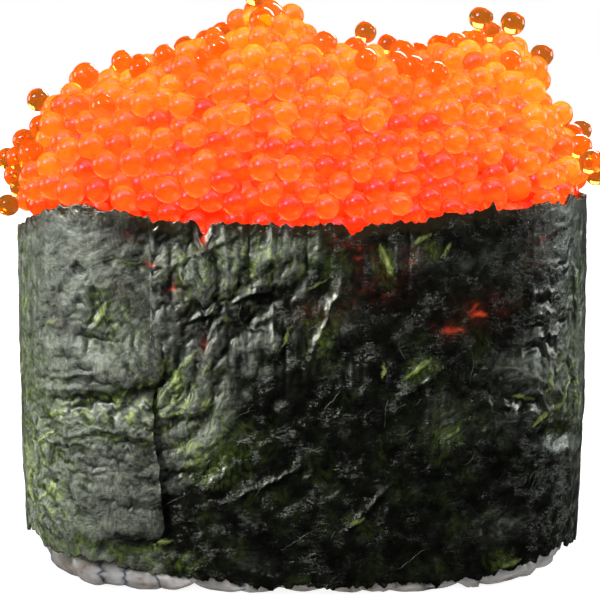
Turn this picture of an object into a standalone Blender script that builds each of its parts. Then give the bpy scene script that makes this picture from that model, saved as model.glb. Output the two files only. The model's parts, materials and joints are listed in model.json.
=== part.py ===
"""Gunkan sushi: rice in one upright, lapped strip of nori, with a heap of roe on top.

Metres, +Z up. The origin is the middle of the rice's flat underside, X runs along the length and
-Y is the front. The rice, the nori and the roe all follow one outline, a rounded rectangle with
bowed long sides seen from above, and each keeps a small gap to its neighbours.
"""

import math

import bmesh
import bpy
from mathutils import Vector, noise

# The wrap's outside, seen from above.
LENGTH = 0.055
DEPTH = 0.0275  # at the ends of its two long sides
BOW = 0.0015  # how far each long side swells out at its middle
CORNER_RADIUS = 0.0115

# The nori strip.
NORI_THICKNESS = 0.0004
NORI_FOOT = 0.0014  # how far its lower edge clears the surface that the rice rests on
NORI_TOP = 0.0345
SEAM_X = -0.0136  # where on the front the strip's outer end lies
LAP = 0.018  # how far it lies over the inner end, which is to its left
LAP_RAMP = 0.008  # the stretch in which the inner layer swings in under the outer one
GAP = 0.0003  # between neighbouring solids

# The rice.
RICE_TOP = 0.0205
RICE_FOOT_INSET = 0.0012  # from the rice's full width in to the rim of its flat underside
RICE_FOOT_HEIGHT = 0.0018  # over which the grains round out from that rim to full width
GRAIN_SIZE = 0.0030
GRAIN_DENT = 0.0013  # how far in the deepest hollows between the grains of the rim reach

# The roe.
SPILL = 0.0018  # how far the heap hangs over the wrap's outside at its two ends
SPINE = 0.0185  # half the length of the ridge that the heap's rings close in on
CREST = 0.0148  # the ridge's usual height above the wrap

PIECES_AROUND = 112
STRIP_COLUMNS = 116
STRIP_ROWS = 8
HEAP_RINGS = 15

STRAIGHT_X = LENGTH - 2 * CORNER_RADIUS
STRAIGHT_Y = DEPTH - 2 * CORNER_RADIUS
QUARTER = math.pi / 2 * CORNER_RADIUS
PERIMETER = 2 * (STRAIGHT_X + STRAIGHT_Y) + 4 * QUARTER
FRONT = PERIMETER / 2  # distances round the outline, counted from the middle of the back
FRONT_LEFT = FRONT - STRAIGHT_X / 2 - QUARTER / 2
FRONT_RIGHT = PERIMETER - FRONT_LEFT
LEFT_END = STRAIGHT_X / 2 + QUARTER + STRAIGHT_Y / 2
RIGHT_END = PERIMETER - LEFT_END
SEAM = FRONT + SEAM_X


def smooth(start, end, value):
    """0 before start, 1 after end, and an easy slope between them."""
    t = min(1.0, max(0.0, (value - start) / (end - start)))
    return t * t * (3 - 2 * t)


def bell(value, middle, width):
    return math.exp(-(((value - middle) / width) ** 2))


def outline(s):
    """The point of the wrap's outside s metres round it, from the middle of the back past the left
    end and the front, and the outward normal there."""
    s %= PERIMETER
    heading = math.pi
    point = Vector((0.0, DEPTH / 2, 0.0))
    for leg in (STRAIGHT_X / 2, STRAIGHT_Y, STRAIGHT_X, STRAIGHT_Y, STRAIGHT_X / 2):
        ahead = Vector((math.cos(heading), math.sin(heading), 0.0))
        outward = Vector((ahead.y, -ahead.x, 0.0))
        if s <= leg:
            return point + ahead * s, outward
        s -= leg
        point += ahead * leg
        middle = point - outward * CORNER_RADIUS
        turned = min(s, QUARTER) / CORNER_RADIUS
        outward = Vector((math.sin(heading + turned), -math.cos(heading + turned), 0.0))
        point = middle + outward * CORNER_RADIUS
        if s <= QUARTER:
            return point, outward
        s -= QUARTER
        heading += math.pi / 2
    return point, outward


def wall(s, z, outset):
    """A point beside the wrap's outside, whose long sides bow out and which isn't quite even."""
    point, outward = outline(s)
    bow = BOW * (1 - (2 * point.x / LENGTH) ** 2) * abs(outward.y)
    swell = 0.0003 * math.sin(math.pi * z / NORI_TOP)
    unevenness = 0.00035 * noise.noise(Vector((point.x, point.y, z)) * 110)
    return point + outward * (outset + bow + swell + unevenness) + Vector((0, 0, z))


def tucked(s):
    """How far the wrap's inside steps in where the strip's inner end lies under its outer one."""
    from_lap = abs(s % PERIMETER - (SEAM - LAP / 2))
    return (NORI_THICKNESS + GAP) * (1 - smooth(LAP / 2, LAP / 2 + LAP_RAMP, from_lap))


def nori_top(s):
    """The height of the wrap's upper edge: up at the front corners and low at the left end."""
    s %= PERIMETER
    point, _ = outline(s)
    corners = 0.0013 * bell(s, FRONT_LEFT, 0.010) + 0.0013 * bell(s, FRONT_RIGHT, 0.012)
    ends = 0.0008 * bell(s, RIGHT_END, 0.006) - 0.0016 * bell(s, LEFT_END, 0.004)
    waves = 0.0005 * noise.noise(Vector((point.x, point.y, 0.2)) * 260)
    return NORI_TOP + corners + ends + waves


def nori_foot(s):
    """The height of the wrap's lower edge, which rides up round the left end."""
    s %= PERIMETER
    point, _ = outline(s)
    ends = 0.0016 * bell(s, LEFT_END, 0.011) + 0.0006 * bell(s, RIGHT_END, 0.011)
    return NORI_FOOT + ends + 0.0006 * noise.noise(Vector((point.x, point.y, 0.5)) * 200)


def crest(x):
    """The height of the heap's ridge above the wrap: a peak left of the middle and a shoulder right."""
    peak = 0.0047 * bell(x, -0.0034, 0.0045)
    left_slope = 0.0016 * bell(x, -0.0110, 0.0050)
    saddle = 0.0014 * bell(x, 0.0045, 0.0035)
    right_shoulder = 0.0025 * bell(x, 0.0190, 0.0075)
    left_dip = 0.0010 * bell(x, -0.0200, 0.0050)
    return CREST + peak + left_slope + saddle + right_shoulder - left_dip


def heap_ring(share):
    """One ring of the heap above the wrap: share is 0 at its rim and 1 at the ridge."""
    turn = share * math.pi / 2
    ring = []
    for k in range(PIECES_AROUND):
        s = PERIMETER * k / PIECES_AROUND
        _, outward = outline(s)
        roundness = 0.2 + 0.45 * abs(outward.y)
        inward = roundness * (1 - math.cos(turn)) + (1 - roundness) * share
        spill = SPILL * abs(outward.x) ** 1.5 * smooth(-0.1, 0.1, share)
        rim = wall(s, nori_top(s) + GAP, spill)
        spine = Vector((rim.x * SPINE / (LENGTH / 2 + SPILL), 0.0, rim.z))
        point = rim.lerp(spine, inward)
        height = NORI_TOP + crest(point.x) - rim.z
        point.z += height * math.sin(turn)
        bumps = noise.fractal(point * 170, 1.0, 2.0, 2)
        away = Vector((point.x - spine.x, point.y, 0.7 * height * math.sin(turn))).normalized()
        ring.append(point + away * (0.0007 * bumps * smooth(0.0, 0.15, share)))
    return ring


def mesh_object(name, bm, material):
    bmesh.ops.recalc_face_normals(bm, faces=bm.faces)
    mesh = bpy.data.meshes.new(name)
    bm.to_mesh(mesh)
    bm.free()
    mesh.shade_smooth()
    mesh.set_sharp_from_angle(angle=math.radians(50))
    mesh.materials.append(material)
    made = bpy.data.objects.new(name, mesh)
    bpy.context.scene.collection.objects.link(made)
    return made


def join_rings(bm, lower, upper):
    """A band of faces between two closed rings of as many vertices."""
    count = len(lower)
    for k in range(count):
        following = (k + 1) % count
        bm.faces.new((lower[k], lower[following], upper[following], upper[k]))


def close_along_x(bm, ring):
    """Fills a ring with a strip of faces between its front half and its back half, which mirror each
    other, with one triangle at each end. The ring starts at the middle of the back."""
    half = len(ring) // 2
    left_tip = half // 2
    order = ring[left_tip:] + ring[:left_tip]
    for k in range(half):
        front = order[k], order[k + 1]
        back = order[-k - 1], order[-k]
        corners = [front[0], front[1], back[0], back[1]]
        bm.faces.new([v for n, v in enumerate(corners) if v not in corners[:n]])


def food(name, colour, roughness):
    material = bpy.data.materials.new(name)
    material.use_nodes = True
    shader = material.node_tree.nodes["Principled BSDF"]
    shader.inputs["Base Color"].default_value = (*colour, 1.0)
    shader.inputs["Roughness"].default_value = roughness
    shader.inputs["Metallic"].default_value = 0.0
    return material


def inner_ring(bm, height_at, inset_at, lumps=0.0):
    """A ring inside the wrap, at height_at(s) and inset_at(s) from the wrap's outside."""
    ring = []
    for k in range(PIECES_AROUND):
        s = PERIMETER * k / PIECES_AROUND
        point = wall(s, height_at(s), -inset_at(s))
        _, outward = outline(s)
        lump = abs(noise.noise(point / GRAIN_SIZE))
        ring.append(bm.verts.new(point - outward * lumps * lump))
    return ring


def inside_of_nori(s):
    return NORI_THICKNESS + GAP + tucked(s)


def make_rice():
    """The block of rice, on a flat underside whose edge rounds up grain by grain."""
    bm = bmesh.new()
    steps = 5
    rings = []
    for k in range(steps + 1):
        turn = math.pi / 2 * k / steps
        rounding = RICE_FOOT_INSET * (1 - math.sin(turn))
        height = RICE_FOOT_HEIGHT * (1 - math.cos(turn))
        rings.append(
            inner_ring(
                bm,
                lambda s, z=height: z,
                lambda s, more=rounding: inside_of_nori(s) + more,
                GRAIN_DENT * (1 - k / steps),
            )
        )
    for z in (RICE_TOP / 2, RICE_TOP):
        rings.append(inner_ring(bm, lambda s, z=z: z, inside_of_nori))
    for lower, upper in zip(rings, rings[1:]):
        join_rings(bm, lower, upper)
    bm.faces.new(reversed(rings[0]))
    bm.faces.new(rings[-1])
    return mesh_object("rice", bm, food("rice", (0.86, 0.84, 0.78), 0.35))


def make_nori():
    """The strip, one sheet round the rice and the roe whose outer end lies over its inner one."""
    bm = bmesh.new()
    columns = []
    for c in range(STRIP_COLUMNS + 1):
        s = SEAM - LAP + (PERIMETER + LAP) * c / STRIP_COLUMNS
        inward = tucked(s) if s < PERIMETER else 0.0
        foot, top = nori_foot(s), nori_top(s)
        heights = [foot + (top - foot) * r / STRIP_ROWS for r in range(STRIP_ROWS + 1)]
        columns.append([bm.verts.new(wall(s, z, -inward)) for z in heights])
    for first, second in zip(columns, columns[1:]):
        for r in range(STRIP_ROWS):
            bm.faces.new((first[r], second[r], second[r + 1], first[r + 1]))
    strip = mesh_object("nori", bm, food("nori", (0.020, 0.030, 0.018), 0.45))
    sheet = strip.modifiers.new("sheet", "SOLIDIFY")
    sheet.thickness = NORI_THICKNESS
    sheet.offset = -1.0
    return strip


def make_roe():
    """The roe: a plug down to the rice inside the wrap, a lip over the wrap's edge, and the heap."""
    bm = bmesh.new()
    floor = inner_ring(bm, lambda s: RICE_TOP + GAP, inside_of_nori)
    neck = inner_ring(bm, lambda s: nori_top(s) + GAP, inside_of_nori)
    heap = [[bm.verts.new(p) for p in heap_ring(k / HEAP_RINGS)] for k in range(HEAP_RINGS)]
    rings = [floor, neck, *heap]
    for lower, upper in zip(rings, rings[1:]):
        join_rings(bm, lower, upper)
    bm.faces.new(reversed(floor))
    close_along_x(bm, rings[-1])
    return mesh_object("roe", bm, food("roe", (1.0, 0.22, 0.02), 0.15))


for old in list(bpy.data.objects):
    bpy.data.objects.remove(old)
make_rice()
make_nori()
make_roe()
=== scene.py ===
"""Gunkan sushi, the visual model: a crinkled nori wrap, separate eggs of roe over a core and separate
grains of rice over a core, on a pale floor in a soft studio.

Shapes are worked out in millimetres, and turned into metres when a mesh is made.
"""

import json
import math

import bmesh
import bpy
import numpy as np
from mathutils import Matrix, Vector
from mathutils.bvhtree import BVHTree
from mathutils.kdtree import KDTree

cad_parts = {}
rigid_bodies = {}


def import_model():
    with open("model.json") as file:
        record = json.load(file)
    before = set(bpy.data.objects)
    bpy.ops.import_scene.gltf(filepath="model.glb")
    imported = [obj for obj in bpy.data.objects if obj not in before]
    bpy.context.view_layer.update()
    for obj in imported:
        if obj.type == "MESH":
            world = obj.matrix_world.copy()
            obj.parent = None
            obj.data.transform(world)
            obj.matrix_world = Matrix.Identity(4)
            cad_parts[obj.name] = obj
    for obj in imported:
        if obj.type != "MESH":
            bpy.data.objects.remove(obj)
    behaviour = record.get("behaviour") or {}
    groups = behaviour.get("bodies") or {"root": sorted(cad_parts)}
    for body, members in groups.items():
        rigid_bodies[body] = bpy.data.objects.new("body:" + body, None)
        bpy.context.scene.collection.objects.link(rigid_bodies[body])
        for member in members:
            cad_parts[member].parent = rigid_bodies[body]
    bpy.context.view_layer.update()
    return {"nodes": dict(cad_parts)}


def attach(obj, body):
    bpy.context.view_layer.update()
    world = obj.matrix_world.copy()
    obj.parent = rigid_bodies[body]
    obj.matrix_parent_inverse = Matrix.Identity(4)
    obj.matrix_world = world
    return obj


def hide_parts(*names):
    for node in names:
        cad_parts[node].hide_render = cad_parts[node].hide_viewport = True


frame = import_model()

MM = 0.001
MM_PER_METRE = 1000

# The wrap's outline, seen from above, as in the part.
LENGTH = 55.0
DEPTH = 27.5
BOW = 1.5
CORNER = 11.5
NORI_FOOT = 1.4
NORI_TOP = 34.5
NORI_THICKNESS = 0.3
SWELL = 0.3
SEAM_X = -13.6
LAP = 18.0
LAP_RAMP = 8.0
TUCK = 0.7

STRAIGHT_X = LENGTH - 2 * CORNER
STRAIGHT_Y = DEPTH - 2 * CORNER
QUARTER = math.pi / 2 * CORNER
PERIMETER = 2 * (STRAIGHT_X + STRAIGHT_Y) + 4 * QUARTER
FRONT = PERIMETER / 2
FRONT_LEFT = FRONT - STRAIGHT_X / 2 - QUARTER / 2
FRONT_RIGHT = PERIMETER - FRONT_LEFT
LEFT_END = STRAIGHT_X / 2 + QUARTER + STRAIGHT_Y / 2
RIGHT_END = PERIMETER - LEFT_END
SEAM = FRONT + SEAM_X

# The eggs' usual radius, the share of the shell they fill, and how near two touching ones lie as a share
# of their radii.
EGG_RADIUS = 1.17
PACKING = 0.80
TOUCH = 0.94
EGGS_PER_PIECE = 600


# ---------------------------------------------------------------- noise and shape helpers

GRADIENTS = np.array(
    [(1, 1, 0), (-1, 1, 0), (1, -1, 0), (-1, -1, 0), (1, 0, 1), (-1, 0, 1)]
    + [(1, 0, -1), (-1, 0, -1), (0, 1, 1), (0, -1, 1), (0, 1, -1), (0, -1, -1)],
    float,
)
PRIMES = (73856093, 19349663, 83492791, 2654435761)


def scrambled(*numbers):
    """A 32-bit number that looks random, and is always the same for the same whole numbers."""
    mix = 0
    for number, prime in zip(numbers, PRIMES):
        mix = mix ^ number * prime
    mix = (mix ^ mix >> 13) * 1274126177 & 0xFFFFFFFF
    return (mix ^ mix >> 15) * 2246822519 & 0xFFFFFFFF


def lattice(points, seed):
    """Smooth gradient noise, about -1 to 1, at points of shape (..., 3)."""
    cell = np.floor(points).astype(np.int64)
    part = points - cell
    ease = part**3 * (part * (part * 6 - 15) + 10)
    total = np.zeros(points.shape[:-1])
    for corner in range(8):
        offset = np.array([corner & 1, corner >> 1 & 1, corner >> 2])
        mix = scrambled(*np.moveaxis(cell + offset, -1, 0), seed)
        gradient = GRADIENTS[(mix >> 16) % len(GRADIENTS)]
        weight = np.where(offset == 1, ease, 1 - ease).prod(axis=-1)
        total += weight * ((part - offset) * gradient).sum(axis=-1)
    return total


def noise(u, v, size, seed, octaves=1):
    """Fractal noise over a plane. Its widest waves are as long as size, a number or a pair along u and v."""
    size_u, size_v = size if isinstance(size, tuple) else (size, size)
    u, v = u / size_u, v / size_v
    total = 0.0
    for octave in range(octaves):
        grid = np.stack([u * 2**octave, v * 2**octave, np.full_like(u, 0.37 + octave)], axis=-1)
        total = total + lattice(grid, seed + 101 * octave) / 2**octave
    return total


def cells(u, v, seed):
    """How far each point of a plane is from the nearest of scattered spots, one to a unit square."""
    least = np.full(u.shape, 9.0)
    cell_u, cell_v = np.floor(u).astype(np.int64), np.floor(v).astype(np.int64)
    for du in (-1, 0, 1):
        for dv in (-1, 0, 1):
            a, b = cell_u + du, cell_v + dv
            mix = scrambled(a, b, seed)
            far = np.hypot(a + (mix & 0xFFFF) / 65535 - u, b + (mix >> 16 & 0xFFFF) / 65535 - v)
            least = np.minimum(least, far)
    return least


def turned(u, v, degrees, along, across):
    """Plane coordinates turned by an angle and scaled: one unit is along or across millimetres."""
    a = math.radians(degrees)
    return (u * math.cos(a) + v * math.sin(a)) / along, (-u * math.sin(a) + v * math.cos(a)) / across


def smooth(start, end, value):
    """A share that rises gently from 0 at start to 1 at end."""
    t = np.clip((value - start) / (end - start), 0.0, 1.0)
    return t * t * (3 - 2 * t)


def bell(value, middle, width):
    return np.exp(-(((value - middle) / width) ** 2))


def outline(s):
    """Points of the wrap's outside s millimetres round it, from the middle of the back past the left
    end and the front, and the outward normals there."""
    s = np.mod(np.asarray(s, float), PERIMETER)
    point = np.zeros(s.shape + (2,))
    outward = np.zeros(s.shape + (2,))
    start = np.array([0.0, DEPTH / 2])
    heading = math.pi
    done = 0.0
    for leg in (STRAIGHT_X / 2, STRAIGHT_Y, STRAIGHT_X, STRAIGHT_Y, STRAIGHT_X / 2):
        ahead = np.array([math.cos(heading), math.sin(heading)])
        normal = np.array([ahead[1], -ahead[0]])
        on = (s >= done) & (s <= done + leg)
        point[on] = start + (s[on] - done)[:, None] * ahead
        outward[on] = normal
        done += leg
        middle = start + ahead * leg - normal * CORNER
        on = (s > done) & (s < done + QUARTER)
        turn = heading + (s[on] - done) / CORNER
        outward[on] = np.stack([np.sin(turn), -np.cos(turn)], axis=-1)
        point[on] = middle + CORNER * outward[on]
        done += QUARTER
        heading += math.pi / 2
        start = middle + CORNER * np.array([math.sin(heading), -math.cos(heading)])
    return point, outward


def facing(s):
    """The wrap's outward normals at s, in space."""
    return np.concatenate([outline(s)[1], np.zeros(s.shape + (1,))], axis=-1)


def wall(s, z, outset):
    """Points beside the wrap's outside."""
    point, outward = outline(s)
    bow = BOW * (1 - (2 * point[..., 0] / LENGTH) ** 2) * np.abs(outward[..., 1])
    swell = SWELL * np.sin(np.pi * z / NORI_TOP)
    flat = point + outward * (outset + bow + swell)[..., None]
    return np.concatenate([flat, np.broadcast_to(z, s.shape)[..., None]], axis=-1)


def between(values, r, c):
    """Values of a grid at rows r and columns c, which may be fractions, with straight lines between."""
    r0 = np.clip(r.astype(int), 0, values.shape[0] - 2)
    c0 = np.clip(c.astype(int), 0, values.shape[1] - 2)
    fr, fc = (r - r0)[..., None], (c - c0)[..., None]
    top = values[r0, c0] * (1 - fc) + values[r0, c0 + 1] * fc
    low = values[r0 + 1, c0] * (1 - fc) + values[r0 + 1, c0 + 1] * fc
    return top * (1 - fr) + low * fr


def resampled(values, r, c):
    """A grid's values at other places in it, r down and c across as shares."""
    return between(values, (r * (values.shape[0] - 1))[:, None], (c * (values.shape[1] - 1))[None, :])


def combined(values, times, join):
    """A grid with each place joined with its two neighbours, first down and then across, over and over."""
    for _ in range(times):
        values = values.copy()
        values[1:-1] = join(values[:-2], values[1:-1], values[2:])
        values[:, 1:-1] = join(values[:, :-2], values[:, 1:-1], values[:, 2:])
    return values


def blur(values, times):
    return combined(values, times, lambda a, b, c: 0.25 * a + 0.5 * b + 0.25 * c)


def lowest(values, times):
    return combined(values, times, lambda a, b, c: np.minimum(b, np.minimum(a, c)))


def quads(a, b, c, d):
    """Faces from four arrays of vertex numbers, one corner each."""
    return np.stack([a, b, c, d], axis=-1).reshape(-1, 4).tolist()


def grid_faces(numbers):
    return quads(numbers[:-1, :-1], numbers[:-1, 1:], numbers[1:, 1:], numbers[1:, :-1])


def mesh_piece(name, verts, faces, material, node, looks=None):
    """A mesh object in millimetres that rides on the part and stands for a CAD node, with values for its
    material at each vertex."""
    mesh = bpy.data.meshes.new(name)
    mesh.from_pydata(np.asarray(verts) * MM, [], faces)
    mesh.update()
    mesh.shade_smooth()
    mesh.materials.append(material)
    for look, values in (looks or {}).items():
        values = np.asarray(values, np.float32).ravel()
        mesh.attributes.new(look, "FLOAT", "POINT").data.foreach_set("value", values)
    piece = bpy.data.objects.new(name, mesh)
    bpy.context.scene.collection.objects.link(piece)
    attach(piece, "root")
    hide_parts(node)
    return piece


# ---------------------------------------------------------------- the nori's shape


def nori_top(s):
    """The height of the wrap's upper edge, with its tears and tufts."""
    s = np.mod(s, PERIMETER)
    u = s - FRONT
    corners = 1.4 * bell(u, -20.5, 5.5) + 1.4 * bell(s, FRONT_RIGHT, 12)
    ends = 0.8 * bell(s, RIGHT_END, 6) - 2.6 * bell(s, LEFT_END, 8)
    waves = 0.30 * noise(u, 0 * u, 4.0, 21, 2)
    teeth = 0.34 * noise(u, 0 * u, 0.6, 22, 2)
    notches = 1.1 * bell(u, -8.6, 0.5) + 0.9 * bell(u, 4.6, 0.8)
    notches = notches + 0.5 * bell(u, 10.5, 2.0) + 0.3 * bell(u, -2.0, 8.0)
    tufts = 0.8 * bell(u, 16.8, 0.3) + 0.8 * bell(u, 26.0, 0.9) + 0.4 * bell(u, 12.5, 1.5)
    return NORI_TOP + corners + ends + waves + teeth - notches + tufts


def nori_foot(s):
    """The height of the wrap's lower edge."""
    s = np.mod(s, PERIMETER)
    u = s - FRONT
    raised = 1.2 * bell(s, LEFT_END, 9) + 1.7 * bell(u, -19.5, 8)
    raised = raised + 2.0 * bell(u, 25.0, 7.0) + 2.2 * bell(u, -27.5, 4.0)
    waves = 0.40 * noise(u, 0 * u, 4.0, 31, 2)
    teeth = 0.60 * noise(u, 0 * u, 0.8, 32, 3)
    return np.maximum(0.35, 1.0 + raised + waves + teeth)


def tucked(s):
    """How far the strip steps in where it lies under its own outer end."""
    from_lap = np.abs(np.mod(s, PERIMETER) - (SEAM - LAP / 2))
    return TUCK * (1 - smooth(LAP / 2, LAP / 2 + LAP_RAMP, from_lap))


def strip_grid(along, up):
    """The places round the block and the heights of a grid on the strip, from its lower to its upper edge."""
    foot, top = nori_foot(along), nori_top(along)
    z = foot[None] + (top - foot)[None] * up[:, None]
    return np.broadcast_to(along, z.shape), z


# Each row of a table is a place on the sheet: along it from the middle of the front, height, two half-widths,
# and what the table says.
# Where the sheet has been crushed: the slope of the wrinkles in degrees, and how much too wide the sheet is
# there across them.
CRUSHED = (
    (-18, 27, 1.8, 3.5, 70, 0.12), (-14.5, 31, 3.5, 1.2, 5, 0.2), (-9, 29.8, 2.4, 2.6, 105, 0.22),
    (-3, 31, 5, 3.2, 62, 0.18), (-6, 26.5, 5, 1.6, 20, 0.24), (-3.5, 23, 5, 2.2, 65, 0.16),
    (-14.5, 21.8, 2.8, 2.6, 80, 0.24), (-11, 18.5, 3, 2, 70, 0.22), (-17.5, 16.5, 6.5, 2.2, 14, 0.22),
    (-9, 14.5, 3, 3.6, 33, 0.18), (-25, 9.5, 3.6, 6.5, -52, 0.24), (-16, 10, 5, 3, 30, 0.05),
    (1.5, 25, 2, 3, 62, 0.12), (8.5, 31, 3.2, 2.4, 112, 0.18), (4, 17, 4, 4, 55, 0.05),
    (-1, 13, 5, 2, 30, 0.06), (13.5, 15.5, 3, 2.2, 40, 0.16), (19.5, 20.5, 3.8, 3.6, -28, 0.2),
    (24.5, 18, 2.4, 6, 72, 0.28), (5.5, 7.5, 3, 2.4, 38, 0.14), (17, 7, 4, 2.6, 15, 0.16),
    (26, 29, 2, 5, 82, 0.12), (-27.5, 26, 2.5, 8, 80, 0.1),
)

# Single bulges and hollows: slope in degrees, and millimetres out.
BULGES = (
    (-15.6, 21.7, 2.6, 1.8, 15, 1.25), (-19.8, 22.2, 1.8, 1.4, 0, 0.35), (-18.3, 17.7, 4.2, 1, 10, -0.15),
    (-9.2, 29.4, 1.5, 1.8, 0, 0.8), (-4.8, 31.2, 0.8, 2, 80, 0.45), (-2, 31.8, 0.8, 1.5, 100, 0.45),
    (-4.5, 26.9, 3.2, 1.2, 18, -0.15), (-11, 19.5, 1.5, 0.9, 60, -0.3), (-9.8, 17.8, 1.2, 0.9, 60, 0.45),
    (3.5, 22, 1.4, 2.4, -40, -0.45), (20, 21, 3, 1.4, -12, 0.4), (19, 18.5, 3.2, 0.7, -20, -0.5),
    (8, 27.5, 4, 2, 15, -0.35), (24.6, 14, 1, 2.5, 80, -0.5),
)

# Thin folds: from one point to another, half-width, and millimetres out.
FOLDS = (
    (-22.5, 14.6, -13.7, 16.5, 0.55, 0.55), (-13.7, 16.5, -9, 18.3, 0.5, 0.5),
    (-17.4, 31, -12.3, 30.3, 0.3, -0.5), (-12.3, 30.4, -5.6, 33.2, 0.3, 0.45),
    (-10.6, 25.4, -6, 27.4, 0.22, 0.45), (-6, 27.4, -2.2, 29, 0.22, 0.45),
    (-18.9, 29, -17, 24.6, 0.3, -0.4), (-23.8, 19.6, -17.6, 21, 0.28, 0.35), (3.6, 29.5, 1, 23, 0.3, 0.4),
    (16.5, 22.6, 24.5, 18, 0.35, 0.45), (8.5, 18.5, 13.5, 22, 0.3, 0.35), (3.8, 6, 8, 10.5, 0.3, 0.3),
    (-6.5, 9.2, -0.2, 12.3, 0.28, 0.4), (-26.5, 16.5, -22.5, 10, 0.4, 0.45),
    (-28.5, 13, -23.5, 6, 0.4, 0.45), (22.8, 21.6, 24.3, 16.6, 0.25, 0.45),
    (25.4, 21.8, 26.6, 16, 0.25, 0.45), (20.4, 20.2, 22.4, 16.8, 0.22, 0.35),
    (24, 18.2, 27.4, 20.4, 0.22, 0.35), (26, 30, 26.6, 24, 0.25, 0.3), (25.6, 13, 26.8, 8, 0.25, 0.3),
)

# Where green shows, where the roe's light through the sheet is painted on as a reddish glow, and where else
# the sheet has dried: how much.
GREEN = (
    (-28, 18, 3.5, 14, 0.8), (-24.5, 8, 3.5, 6, 0.7), (-18, 26.5, 1.8, 3, 0.8), (-9, 30, 3, 2.5, 0.6),
    (-3, 31, 5, 2.5, 0.5), (-18, 16.5, 6, 2.5, 0.8), (-11, 18.5, 2.6, 2.2, 0.9), (-9, 14.5, 3.2, 3.6, 0.7),
    (-14.5, 21.5, 2.6, 2.4, 0.5), (7.2, 30.8, 0.9, 1.8, 1), (11, 31.8, 1.4, 1.2, 0.8),
    (1.8, 24.5, 1.5, 2.2, 0.7), (10.5, 21.5, 2.2, 1.2, 0.5), (24.5, 17.5, 2.4, 4.5, 0.5),
    (13.5, 15.5, 1.6, 1.3, 0.45), (5.5, 7, 1.6, 1.4, 0.4), (18, 3.2, 1.4, 1.1, 0.6), (28, 24, 3, 10, 0.7),
    (-16, 3.5, 8, 1.4, 0.7),
)
PAINTED_GLOW = (
    (-13.4, 30.9, 0.9, 0.5, 1), (-15.6, 33.2, 1.6, 0.8, 0.7), (-8.7, 33, 0.8, 1, 0.9),
    (-8.7, 23.4, 0.8, 1.2, 0.8), (-16.3, 28.8, 0.9, 0.8, 0.6), (-11.3, 28.3, 0.9, 2.2, 0.6),
    (1.8, 26.6, 2.4, 1.3, 0.55), (3.6, 33, 1.6, 1.2, 0.6), (5.8, 31.4, 1.4, 1.4, 0.6),
    (6.6, 28.8, 2.8, 1.5, 0.55), (9.6, 31.6, 1.6, 1.4, 0.5), (15.8, 26.6, 3, 1.6, 0.6),
    (13, 24.8, 1.6, 0.9, 0.6), (21.5, 33, 1.8, 1.2, 0.5), (20.5, 30.5, 1.4, 1.4, 0.4),
    (-22.6, 25, 1.1, 0.5, 0.6), (-20.2, 32, 0.8, 0.45, 0.5),
)
DRY = (
    (20, 20.5, 3.6, 2.4, 0.8), (17.5, 16, 2.4, 1.2, 0.4), (13, 16.5, 1.6, 2, 0.5),
    (18, 6.5, 2.6, 1.4, 0.35), (28.2, 20, 2.5, 14, 1), (24.8, 20, 1.8, 4, 0.7), (9, 31.5, 3, 1.4, 0.35),
    (16, 31, 3, 1.6, 0.25), (-4.5, 3.4, 1.8, 0.9, 0.4), (2, 26.5, 2.5, 4, 0.4),
)

# Where the dry part is painted paler or darker: slope in degrees, and how much. Paler rows are dust and
# painted light; darker rows are painted shade in the hollows.
DUST_AND_PAINTED_SHADING = (
    (-22.4, 29.2, 1.8, 2.8, 0, 0.15), (-19.7, 32, 1.8, 1.2, 0, 0.3), (-22.9, 22.3, 1.7, 2.6, 0, 0.4),
    (-15.6, 21.6, 2.6, 1.8, 15, 0.9), (-8.9, 29.4, 1.2, 1.5, 0, 0.8), (-6.7, 30, 1.1, 1.8, 0, 0.5),
    (-3.3, 30.9, 0.6, 1, 0, 0.7), (-1.1, 32.8, 1, 0.8, 0, 0.5), (-0.9, 24.4, 1, 1.2, 0, 0.7),
    (-13, 25.4, 1, 1.3, 0, 0.3), (-18.2, 15.8, 4.6, 0.7, 11, 0.6), (-17.2, 13.3, 3.2, 1.2, 5, 0.2),
    (-17.2, 9, 3.2, 2.2, 0, 0.2), (-8.7, 15.4, 2.4, 1.6, 60, 0.3), (-25.7, 11.6, 1.3, 3.2, -15, 0.5),
    (-24.4, 18.1, 1.1, 2.2, 0, 0.4), (-18.1, 17.5, 4, 1.5, 8, -1.4), (-4.7, 26.6, 4.2, 2, 18, -1.3),
    (24.5, 18.5, 2.6, 3.2, 0, 1.2), (28, 30, 3, 5, 0, -0.3), (-10.3, 27.9, 0.8, 3.2, 0, -0.6),
    (-12.6, 32.7, 2.2, 1, 0, -0.5), (1.6, 27.4, 1.6, 3.5, 0, -0.6), (-17.7, 26, 1.1, 2.2, -25, -0.4),
    (-14.5, 19.1, 1.8, 0.9, 0, -0.8), (-15.9, 4.6, 3.4, 1.2, 0, -0.8), (-8.5, 25, 1.6, 1.2, 0, -0.4),
    (-11.9, 21.4, 1.1, 2, 0, -0.5), (-6.5, 20.9, 2.2, 1.6, 20, -0.4), (-19.9, 30.3, 0.7, 0.4, 0, -0.7),
    (-11, 11, 2, 2, 0, -0.3), (-8, 33.6, 9, 1.1, 0, -0.5), (-12.5, 28, 2, 3.2, 0, -0.25),
    (-5, 30, 4, 2.4, 0, -0.2), (20, 20.6, 3, 1.8, 0, 0.5),
)

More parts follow.
